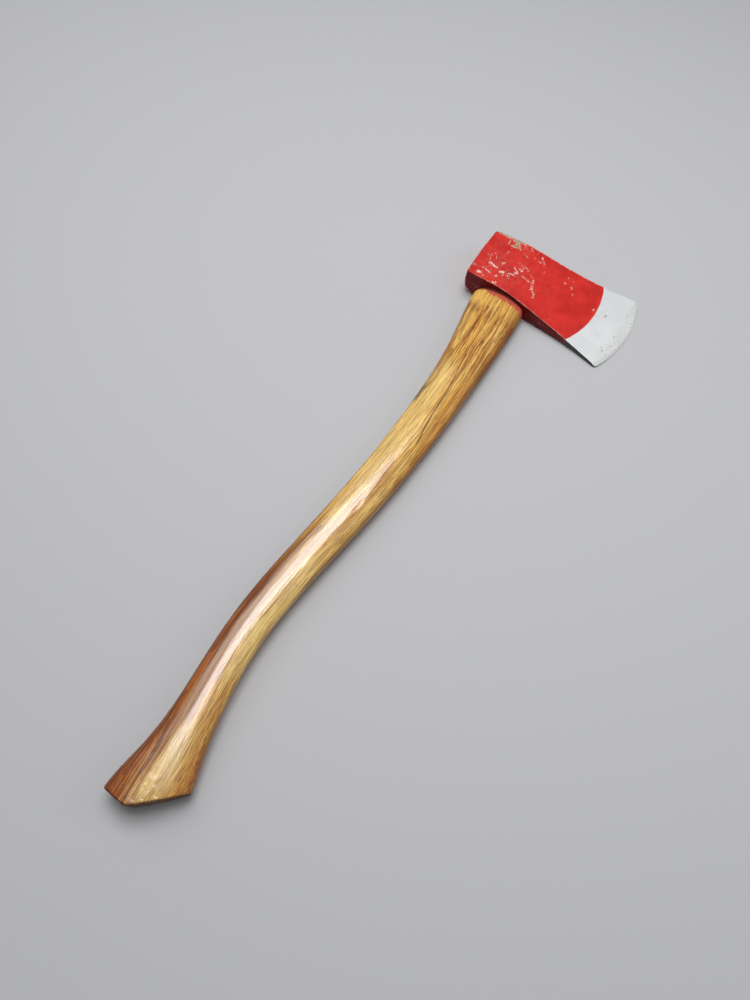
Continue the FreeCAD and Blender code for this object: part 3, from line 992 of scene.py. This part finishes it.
def red_paint(g):
    """The paint that is left: red, dull where it is rubbed, with painted shade on the underside."""
    g.colour = g.mix(g.band(g.coarse, 0.35, 0.65), RED_DEEP, RED)
    g.cover(RED_DULL, g.band(g.fine, 0.55, 0.8), 0.25)
    rubbed = g.number("rubbed")
    g.dull = g.times(rubbed, g.band(g.middle, 0.42, 0.66), 0.6)
    scuffs = g.band(g.noise(g.spot, (2.2, 1.5, 2), 5, 0.7, seed=83), 0.53, 0.66)
    g.cover(RED_DULL, g.most(g.dull, g.times(rubbed, scuffs, 0.55)))
    # painted shade: the underside wall that faces the handle is made dark red, near black towards the
    # heel, and blotchy
    g.cover(RED_PAINTED_SHADE, g.under, 0.92)
    g.cover(STEEL_PAINTED_SHADE, g.under, g.band(g.y, -52, -92), 0.85)
    shade_blotches = g.band(g.noise(g.spot, (9, 9, 9), 4, 0.6, seed=53), 0.45, 0.7)
    g.cover(UNDERSIDE_SHADE_BLOTCHES, g.under, shade_blotches, 0.6)


def worn_coat(g):
    """The paint with primer, rust and old varnish where it is lost, and its lip at the bit."""
    primer = g.mix(g.times(g.band(g.middle, 0.50, 0.66), 0.4), PRIMER, RUST_BROWN)
    varnish = g.mix(g.band(g.fine, 0.42, 0.6), OLD_VARNISH, PALE_VARNISH)
    g.cover(g.mix(g.strip, primer, varnish), g.through)
    edge = g.mix(g.band(g.fine, 0.45, 0.65), EDGE_PINK, EDGE_GREY)
    g.cover(g.mix(g.under, edge, RUST_BROWN), g.rim, 0.75)
    lip = g.band(g.absolute(g.sum(g.paint_end, 0.35 - PAINT_RADIUS)), 0.55, 0.2, 0.0, 0.35)
    g.cover(PAINT_LIP, lip)


def ground_steel(g):
    """The ground bit: fine lines and grit, tan stains near the edge, dark pits and marks, and painted
    shade on the underside.
    """
    g.ground = g.noise(g.spot, (0.22, 17, 3), 3, 0.6, seed=43)
    g.colour = g.mix(g.band(g.coarse, 0.3, 0.7), BARE_STEEL, STEEL_CLOUD)
    g.cover(STEEL_LINES, g.band(g.ground, 0.45, 0.75), 0.22)
    g.cover(STEEL_GRIT, g.band(g.grit, 0.5, 0.66), 0.34)
    near_edge = g.band(g.reach, PAINT_RADIUS + 24, PAINT_RADIUS + 31)
    g.cover(TAN, near_edge, g.band(g.fine, 0.53, 0.62), g.band(g.middle, 0.42, 0.58), 0.8)
    g.cover(STEEL_HONED, g.band(g.reach, PAINT_RADIUS + 34.5, PAINT_RADIUS + 36.0), 0.12)
    specks = g.times(g.band(g.fine, 0.70, 0.76), g.band(g.coarse, 0.48, 0.6))
    marks = g.band(g.sum(g.number("mark_near"), g.swing(g.fine, 1.6)), 0.8, 0.3)
    g.pits = g.most(g.times(specks, 0.6), g.times(marks, 0.75))
    g.cover(STEEL_PIT, g.pits)
    # painted shade: the bare steel of the underside is made near black
    g.cover(STEEL_PAINTED_SHADE, g.under, 0.93)


def painted_steel():
    """Red paint, chipped and rubbed through, over forged steel that is bare and ground at the bit."""
    g = Graph("chipped_red_paint")
    head_fields(g)
    find_paint_losses(g)
    red_paint(g)
    worn_coat(g)
    coat = g.colour
    ground_steel(g)
    g.colour = g.mix(g.bare, coat, g.colour)

    off = g.most(g.through, g.times(g.rim, 0.7), g.bare)
    roughness = g.sum(g.band(g.middle, 0.3, 0.7, 0.30, 0.42), g.times(off, 0.18),
                      g.times(g.dull, 0.35), g.times(g.under, 0.15))
    height = g.sum(g.times(off, -0.10), g.times(g.fine, 0.018), g.times(g.grit, 0.010),
                   g.times(g.middle, 0.05), g.times(g.bare, g.ground, 0.012),
                   g.times(g.pits, -0.05))
    metallic = g.times(g.bare, g.minus(1.0, g.pits), g.band(g.under, 1, 0, 0.1, 0.35))
    g.shader.inputs["Specular IOR Level"].default_value = HEAD_SPECULAR
    return g.finish(roughness, height, metallic)


# ---- wood

GOLD = tone(231, 173, 76)
GOLD_PALE = tone(248, 208, 114)
HONEY = tone(250, 215, 134)
YELLOW = tone(228, 178, 82)
AMBER = tone(192, 116, 42)
BROWN = tone(126, 64, 22)
DARK_BROWN = tone(66, 28, 12)
TANNED = tone(142, 92, 54)
BACK_BROWN = tone(170, 92, 38)
BACK_FIBRE = tone(70, 28, 12)
BACK_EDGE = tone(58, 24, 10)
BELLY_STAIN_AND_SHADE = tone(120, 52, 16)
RIM_STAIN_AND_SHADE = tone(132, 66, 26)
OIL_STREAK = tone(84, 40, 20)
KNOB_BROWN = tone(134, 68, 28)
KNOB_END = tone(84, 36, 15)
SPLIT_BROWN = tone(104, 54, 24)
DASH_BROWN = tone(48, 30, 20)
PAINT_SMEAR = tone(196, 72, 62)
GAP_PAINTED_SHADE = tone(40, 14, 10)
END_GRAIN = tone(150, 104, 62)
END_GRAIN_DARK = tone(92, 58, 34)
END_PAINT = tone(158, 40, 34)

HANDLE_SPECULAR = 0.3
BURN_PLACE = (-146, 13.5, 6)


def wood_fields(g):
    """The noises and places that the parts of the handle's colour share, in mm.

    spread runs from -1 at the belly to 1 at the back, and across is the same made ragged.
    """
    g.spot = g.vector("own_mm")
    g.spread = g.number("spread")
    g.x = g.axes(g.spot)[0]
    g.out_x, g.out_y, g.out_z = g.axes(g.vector("facing"))
    grain = g.vector("grain_mm")
    g.cloud = g.noise(grain, (70, 14, 14), 3)
    g.bands = g.noise(grain, (140, 4, 6), 5, 0.6, 0.3, seed=11)
    g.fibre = g.noise(grain, (60, 1.4, 2.0), 4, 0.6, seed=23)
    g.hair = g.noise(grain, (24, 0.65, 0.9), 3, 0.6, seed=37)
    g.pore = g.noise(grain, (8, 0.6, 0.8), 2, 0.5, seed=41)
    g.mottle = g.noise(g.spot, (5, 3, 3), 4, 0.6, seed=47)
    g.at_head = g.band(g.x, -150, -70)
    g.at_grip = g.band(g.x, -280, -390)
    g.loose = g.sum(g.swing(g.bands, 0.8), g.swing(g.fibre, 0.6))
    g.across = g.sum(g.spread, g.loose)


def clean_wood(g):
    """Gold wood with amber bands, pale stretches, brown fibres and dark pores."""
    g.colour = g.mix(g.band(g.cloud, 0.35, 0.65), GOLD, GOLD_PALE)
    banded = g.times(g.band(g.bands, 0.47, 0.62), g.band(g.x, -330, -150, 0.7, 0.6))
    g.cover(AMBER, banded)
    pale = g.times(g.band(g.across, -0.1, 0.25), g.band(g.x, -92, -125), g.band(g.x, -300, -230))
    honey = g.times(g.band(g.across, -0.1, -0.4), g.band(g.x, -310, -345), g.band(g.x, -455, -425))
    knob = g.times(g.band(g.absolute(g.across), 0.6, 0.2), g.band(g.x, -470, -495), 0.7)
    light = g.most(pale, honey, knob)
    g.cover(HONEY, light, 0.8)
    calm = g.fade(light, 1.0, 0.7)
    fibres = g.times(g.band(g.fibre, 0.50, 0.59), g.fade(g.at_head, 0.4, 0.68), calm)
    g.cover(BROWN, fibres)
    g.cover(BROWN, g.band(g.hair, 0.49, 0.56), 0.6, calm)
    g.pores = g.times(g.band(g.pore, 0.60, 0.68), g.fade(g.at_head, 0.4, 0.8))
    g.cover(DARK_BROWN, g.pores)


def handled_wood(g):
    """Wood tanned and darkened by hands and oil: back, belly, streaks and a burn; the edges darkened
    partly by stain and partly as painted shade, and painted shade where the wood faces down.
    """
    tanned = g.times(g.band(g.across, -0.25, 0.3), g.at_grip, g.band(g.x, -505, -460, 0.15, 0.75))
    g.cover(TANNED, tanned)
    back = g.times(g.band(g.across, 0.28, 0.66), g.at_grip)
    g.cover(BACK_BROWN, back, g.band(g.hair, 0.3, 0.6, 0.7, 0.95))
    g.cover(BACK_FIBRE, back, g.band(g.fibre, 0.49, 0.56), 0.7)
    back_edge = g.band(g.sum(g.spread, g.times(g.loose, 0.5)), 0.74, 0.94)
    g.cover(BACK_EDGE, back_edge, g.at_grip, 0.6)
    # the belly edge and the back edge are darkened, partly as stain and partly as painted shade where the
    # round of the handle turns away from the light
    lower = g.sum(g.across, g.band(g.x, -200, -90, 0.06, -0.1))
    belly = g.times(g.band(lower, -0.76, -0.98), g.band(g.x, -380, -300, 0.65, 0.7))
    g.cover(BELLY_STAIN_AND_SHADE, belly)
    g.cover(RIM_STAIN_AND_SHADE, g.band(g.across, 0.72, 0.98, 0.0, 0.6))
    # painted shade: amber laid over the wood where it faces down
    g.cover(AMBER, g.band(g.out_z, 0.3, -0.5), 0.35)
    near = g.sum(g.number("streak_near"), g.swing(g.fibre, 3.2), g.swing(g.hair, 1.5))
    streaks = g.times(g.band(near, 1.5, 0.3), g.band(g.out_z, 0.0, 0.4), 0.5)
    g.cover(OIL_STREAK, streaks)
    burn = g.sum(g.distance(g.spot, BURN_PLACE), g.times(g.fibre, 14))
    burn = g.times(g.band(burn, 22, 11), g.band(g.out_y, 0.3, 0.8), 0.8)
    g.cover(DARK_BROWN, burn)


def knob_wear(g):
    """The knob: browned in front and at its rim, pitted, and dark on its end faces."""
    front = g.band(g.across, -0.35, -0.95)
    browned = g.times(g.band(g.x, -440, -500), g.most(front, g.band(g.x, -527, -543, 0.0, 0.9)))
    g.cover(KNOB_BROWN, browned, g.band(g.mottle, 0.3, 0.65, 0.4, 0.8))
    speckled = g.times(g.band(g.x, -470, -535), g.band(g.mottle, 0.60, 0.68))
    g.pitted = g.times(speckled, g.band(g.hair, 0.4, 0.6), 0.8)
    g.cover(DARK_BROWN, g.pitted, 0.8)
    g.end_face = g.band(g.out_x, -0.25, -0.6)
    g.cover(KNOB_END, g.end_face, g.band(g.mottle, 0.3, 0.6, 0.7, 0.95))


def neck_wear(g):
    """The neck below the head: a band worn to fresh wood, and dirt beside it at the back."""
    neck = g.sum(g.x, g.swing(g.fibre, 30), g.swing(g.mottle, 12))
    fresh = g.times(g.band(neck, -34, -26), g.band(neck, -10, -13))
    fresh = g.times(fresh, g.band(g.spread, -0.5, 0.6, 0.35, 0.95))
    g.cover(YELLOW, fresh, g.band(g.hair, 0.62, 0.5, 0.3, 0.9))
    dirty = g.times(g.band(neck, -46, -38), g.band(neck, -27, -31), g.band(g.out_y, -0.1, 0.5), 0.45)
    g.cover(BROWN, dirty)


def split_wood(g):
    """Long splits along the grain and short dark dashes."""
    width = g.sum(g.band(g.mottle, 0.35, 0.65, 0.0, 0.5), g.band(g.fibre, 0.4, 0.6, -0.1, 0.25))
    side = g.minus(g.absolute(g.number("crack_side")), width)
    g.crack = g.times(g.band(side, 0.3, -0.1), g.band(g.number("crack_near"), 1.2, 0.7))
    g.cover(SPLIT_BROWN, g.crack, g.band(g.hair, 0.35, 0.6, 0.45, 0.9))
    g.dash = g.band(g.number("dash_near"), 0.5, 0.25)
    g.cover(DASH_BROWN, g.dash, 0.85)


def head_end(g):
    """The shoulder smeared with the head's paint, painted shade in the gap at the eye and the tongue's
    end.
    """
    line = g.sum(g.x, g.swing(g.fibre, 14), g.swing(g.mottle, 10), g.band(g.spread, 0.25, 0.7, 0.0, -4.0))
    smear = g.times(g.band(line, -16.5, -14.0), g.band(g.x, 58, 50))
    g.smear = g.times(smear, g.band(g.hair, 0.62, 0.52, 0.45, 0.95))
    g.cover(PAINT_SMEAR, g.smear)
    top_end = g.band(g.x, 57, 61)
    # painted shade: the wood darkened in the gap where it enters the eye
    gap = g.times(g.band(g.x, -8.2, -6.6), g.minus(1.0, top_end), 0.9)
    g.cover(GAP_PAINTED_SHADE, gap)
    grain = g.noise(g.spot, (9, 1.3, 3.4), 4, 0.6, 0.4, seed=59)
    end = g.mix(g.band(grain, 0.4, 0.62), END_GRAIN, END_GRAIN_DARK)
    painted = g.band(g.noise(g.spot, (5, 5, 5), 5, 0.65, seed=61), 0.47, 0.53)
    g.cover(g.mix(painted, end, END_PAINT), top_end)


def varnish_left(g):
    """How much varnish is left: most on the middle of the grip, none on the end or in splits."""
    middle = g.band(g.absolute(g.spread), 0.4, 0.72, 1.0, 0.12)
    varnish = g.times(g.band(g.x, -295, -165, 0.95, 0.0), middle)
    varnish = g.times(varnish, g.fade(g.end_face, 1.0, 0.0), g.band(g.x, -515, -535, 1.0, 0.5))
    return g.times(varnish, g.fade(g.crack, 1.0, 0.0))


def hickory():
    """Oiled and varnished hickory, dark along its back at the grip, opened and dry at the head."""
    g = Graph("varnished_hickory")
    wood_fields(g)
    clean_wood(g)
    handled_wood(g)
    knob_wear(g)
    neck_wear(g)
    split_wood(g)
    head_end(g)

    dry = g.fade(g.most(g.at_head, g.times(g.smear, 0.8)), 0.24, 0.52)
    roughness = g.sum(dry, g.swing(g.fibre, 0.16), g.swing(g.mottle, 0.14), g.times(g.crack, 0.2),
                      g.times(g.end_face, 0.35))
    relief = g.times(g.band(g.fibre, 0.45, 0.75), g.fade(g.at_head, -0.05, -0.16))
    height = g.sum(relief, g.times(g.hair, -0.02), g.times(g.pores, -0.06),
                   g.times(g.crack, -0.14), g.times(g.pitted, -0.15), g.times(g.dash, -0.08),
                   g.times(g.mottle, 0.03), g.times(g.smear, 0.05))
    g.shader.inputs["Specular IOR Level"].default_value = HANDLE_SPECULAR
    return g.finish(roughness, height, varnish=varnish_left(g))


# ---- wedge ends

WEDGE_PAINT = tone(168, 40, 34)
WEDGE_PAINT_DARK = tone(126, 30, 26)
WEDGE_WOOD = tone(176, 132, 84)
WEDGE_WOOD_DARK = tone(112, 74, 44)
WEDGE_STEEL = tone(128, 124, 120)
WEDGE_RUST = tone(84, 66, 52)


def wedge_material(name, bare_tone, dark_tone, metallic, size):
    """A wedge's bare end, with what is left of the red paint that once went over it."""
    g = Graph(name)
    spot = g.vector("own_mm")
    streak = g.noise(spot, size, 4, 0.6, 0.2, seed=5)
    blot = g.noise(spot, (4, 4, 4), 5, 0.65, seed=13)
    fine = g.noise(spot, (0.6, 0.6, 0.6), 3, 0.6, seed=17)
    bare = g.mix(g.band(streak, 0.4, 0.65), bare_tone, dark_tone)
    paint = g.band(blot, 0.49, 0.54)
    g.colour = g.mix(paint, bare, g.mix(g.band(fine, 0.4, 0.7), WEDGE_PAINT, WEDGE_PAINT_DARK))
    roughness = g.sum(g.band(fine, 0.3, 0.7, 0.45, 0.62), g.times(paint, -0.06))
    height = g.sum(g.times(paint, 0.08), g.times(streak, 0.06), g.times(fine, 0.03))
    return g.finish(roughness, height, g.band(paint, 1, 0, 0.0, metallic))


# ---- the axe

def main():
    head, outline = build_head()
    wear_head(head, outline)
    handle = build_handle()
    wear_handle(handle)
    wood_wedge = build_wedge("wood_wedge", "hardwood_wedge", 1.2 * MM, 31)
    steel_wedge = build_wedge("steel_wedge", "stepped_steel_wedge", 1.0 * MM, 37)
    wedge_wood = wedge_material("wedge_wood", WEDGE_WOOD, WEDGE_WOOD_DARK, 0.0, (14, 0.9, 0.9))
    wedge_steel = wedge_material("wedge_steel", WEDGE_STEEL, WEDGE_RUST, 0.7, (3, 3, 3))
    finish_piece(head, painted_steel(), "axe_head")
    finish_piece(handle, hickory(), "handle")
    finish_piece(wood_wedge, wedge_wood, "wood_wedge")
    finish_piece(steel_wedge, wedge_steel, "steel_wedge")


# ---- stage

FLOOR_SIZE = 6.0
FLOOR_TONE = (0.5, 0.5, 0.505, 1)
FLOOR_ROUGHNESS = 0.7
SKY_TONE = (0.93, 0.96, 1.0, 1)
SKY_STRENGTH = 0.22
# name, place, the place it looks at, side in metres, watts, colour
LIGHTS = (
    ("key", (0.35, 1.25, 1.35), (0.05, 0, 0), 1.0, 5, (1, 1, 1)),
    ("overhead", (0.33, 0.13, 1.5), (0, 0, 0), 1.0, 18.5, (0.98, 0.98, 1.0)),
    ("fill", (0.7, -1.2, 1.0), (0.05, 0, 0), 1.0, 3.2, (1, 1, 1)),
)
CAMERA_PLACE = (-0.27734, -0.1078, 0.5549)
CAMERA_HEADING = 28.24
CAMERA_DIP = 61.80
CAMERA_ROLL = 3.04
CAMERA_LENS = 27.0
CAMERA_SENSOR = 36.0


def build_floor():
    work = bmesh.new()
    bmesh.ops.create_grid(work, x_segments=8, y_segments=8, size=FLOOR_SIZE / 2)
    mesh = bpy.data.meshes.new("floor")
    work.to_mesh(mesh)
    work.free()
    floor = bpy.data.objects.new("floor", mesh)
    bpy.context.scene.collection.objects.link(floor)
    material = bpy.data.materials.new("pale_floor")
    material.use_nodes = True
    shader = material.node_tree.nodes["Principled BSDF"]
    shader.inputs["Base Color"].default_value = FLOOR_TONE
    shader.inputs["Roughness"].default_value = FLOOR_ROUGHNESS
    mesh.materials.append(material)


def soft_box(name, place, aim, size, watts, colour):
    """A square area light at place that looks at aim."""
    light = bpy.data.lights.new(name, "AREA")
    light.size = size
    light.energy = watts
    light.color = colour
    lamp = bpy.data.objects.new(name, light)
    lamp.location = place
    lamp.rotation_euler = (Vector(aim) - Vector(place)).to_track_quat("-Z", "Y").to_euler()
    bpy.context.scene.collection.objects.link(lamp)


def build_lights():
    world = bpy.data.worlds.new("studio")
    world.use_nodes = True
    background = world.node_tree.nodes["Background"]
    background.inputs["Color"].default_value = SKY_TONE
    background.inputs["Strength"].default_value = SKY_STRENGTH
    bpy.context.scene.world = world
    for light in LIGHTS:
        soft_box(*light)


def build_camera():
    data = bpy.data.cameras.new("camera")
    data.lens = CAMERA_LENS
    data.sensor_width = CAMERA_SENSOR
    data.clip_start = 0.01
    data.clip_end = 20.0
    camera = bpy.data.objects.new("camera", data)
    heading = math.radians(CAMERA_HEADING)
    dip = math.radians(CAMERA_DIP)
    level_aim = Vector((math.cos(heading), math.sin(heading), 0)) * math.cos(dip)
    forward = level_aim - Vector((0, 0, math.sin(dip)))
    right = Vector((math.sin(heading), -math.cos(heading), 0))
    up = right.cross(forward)
    level = Matrix((right, up, -forward)).transposed()
    turn = level @ Matrix.Rotation(math.radians(CAMERA_ROLL), 3, "Z")
    camera.matrix_world = Matrix.Translation(CAMERA_PLACE) @ turn.to_4x4()
    bpy.context.scene.collection.objects.link(camera)
    bpy.context.scene.camera = camera
    bpy.context.scene.view_settings.view_transform = "Standard"


build_camera()
build_floor()
build_lights()
main()
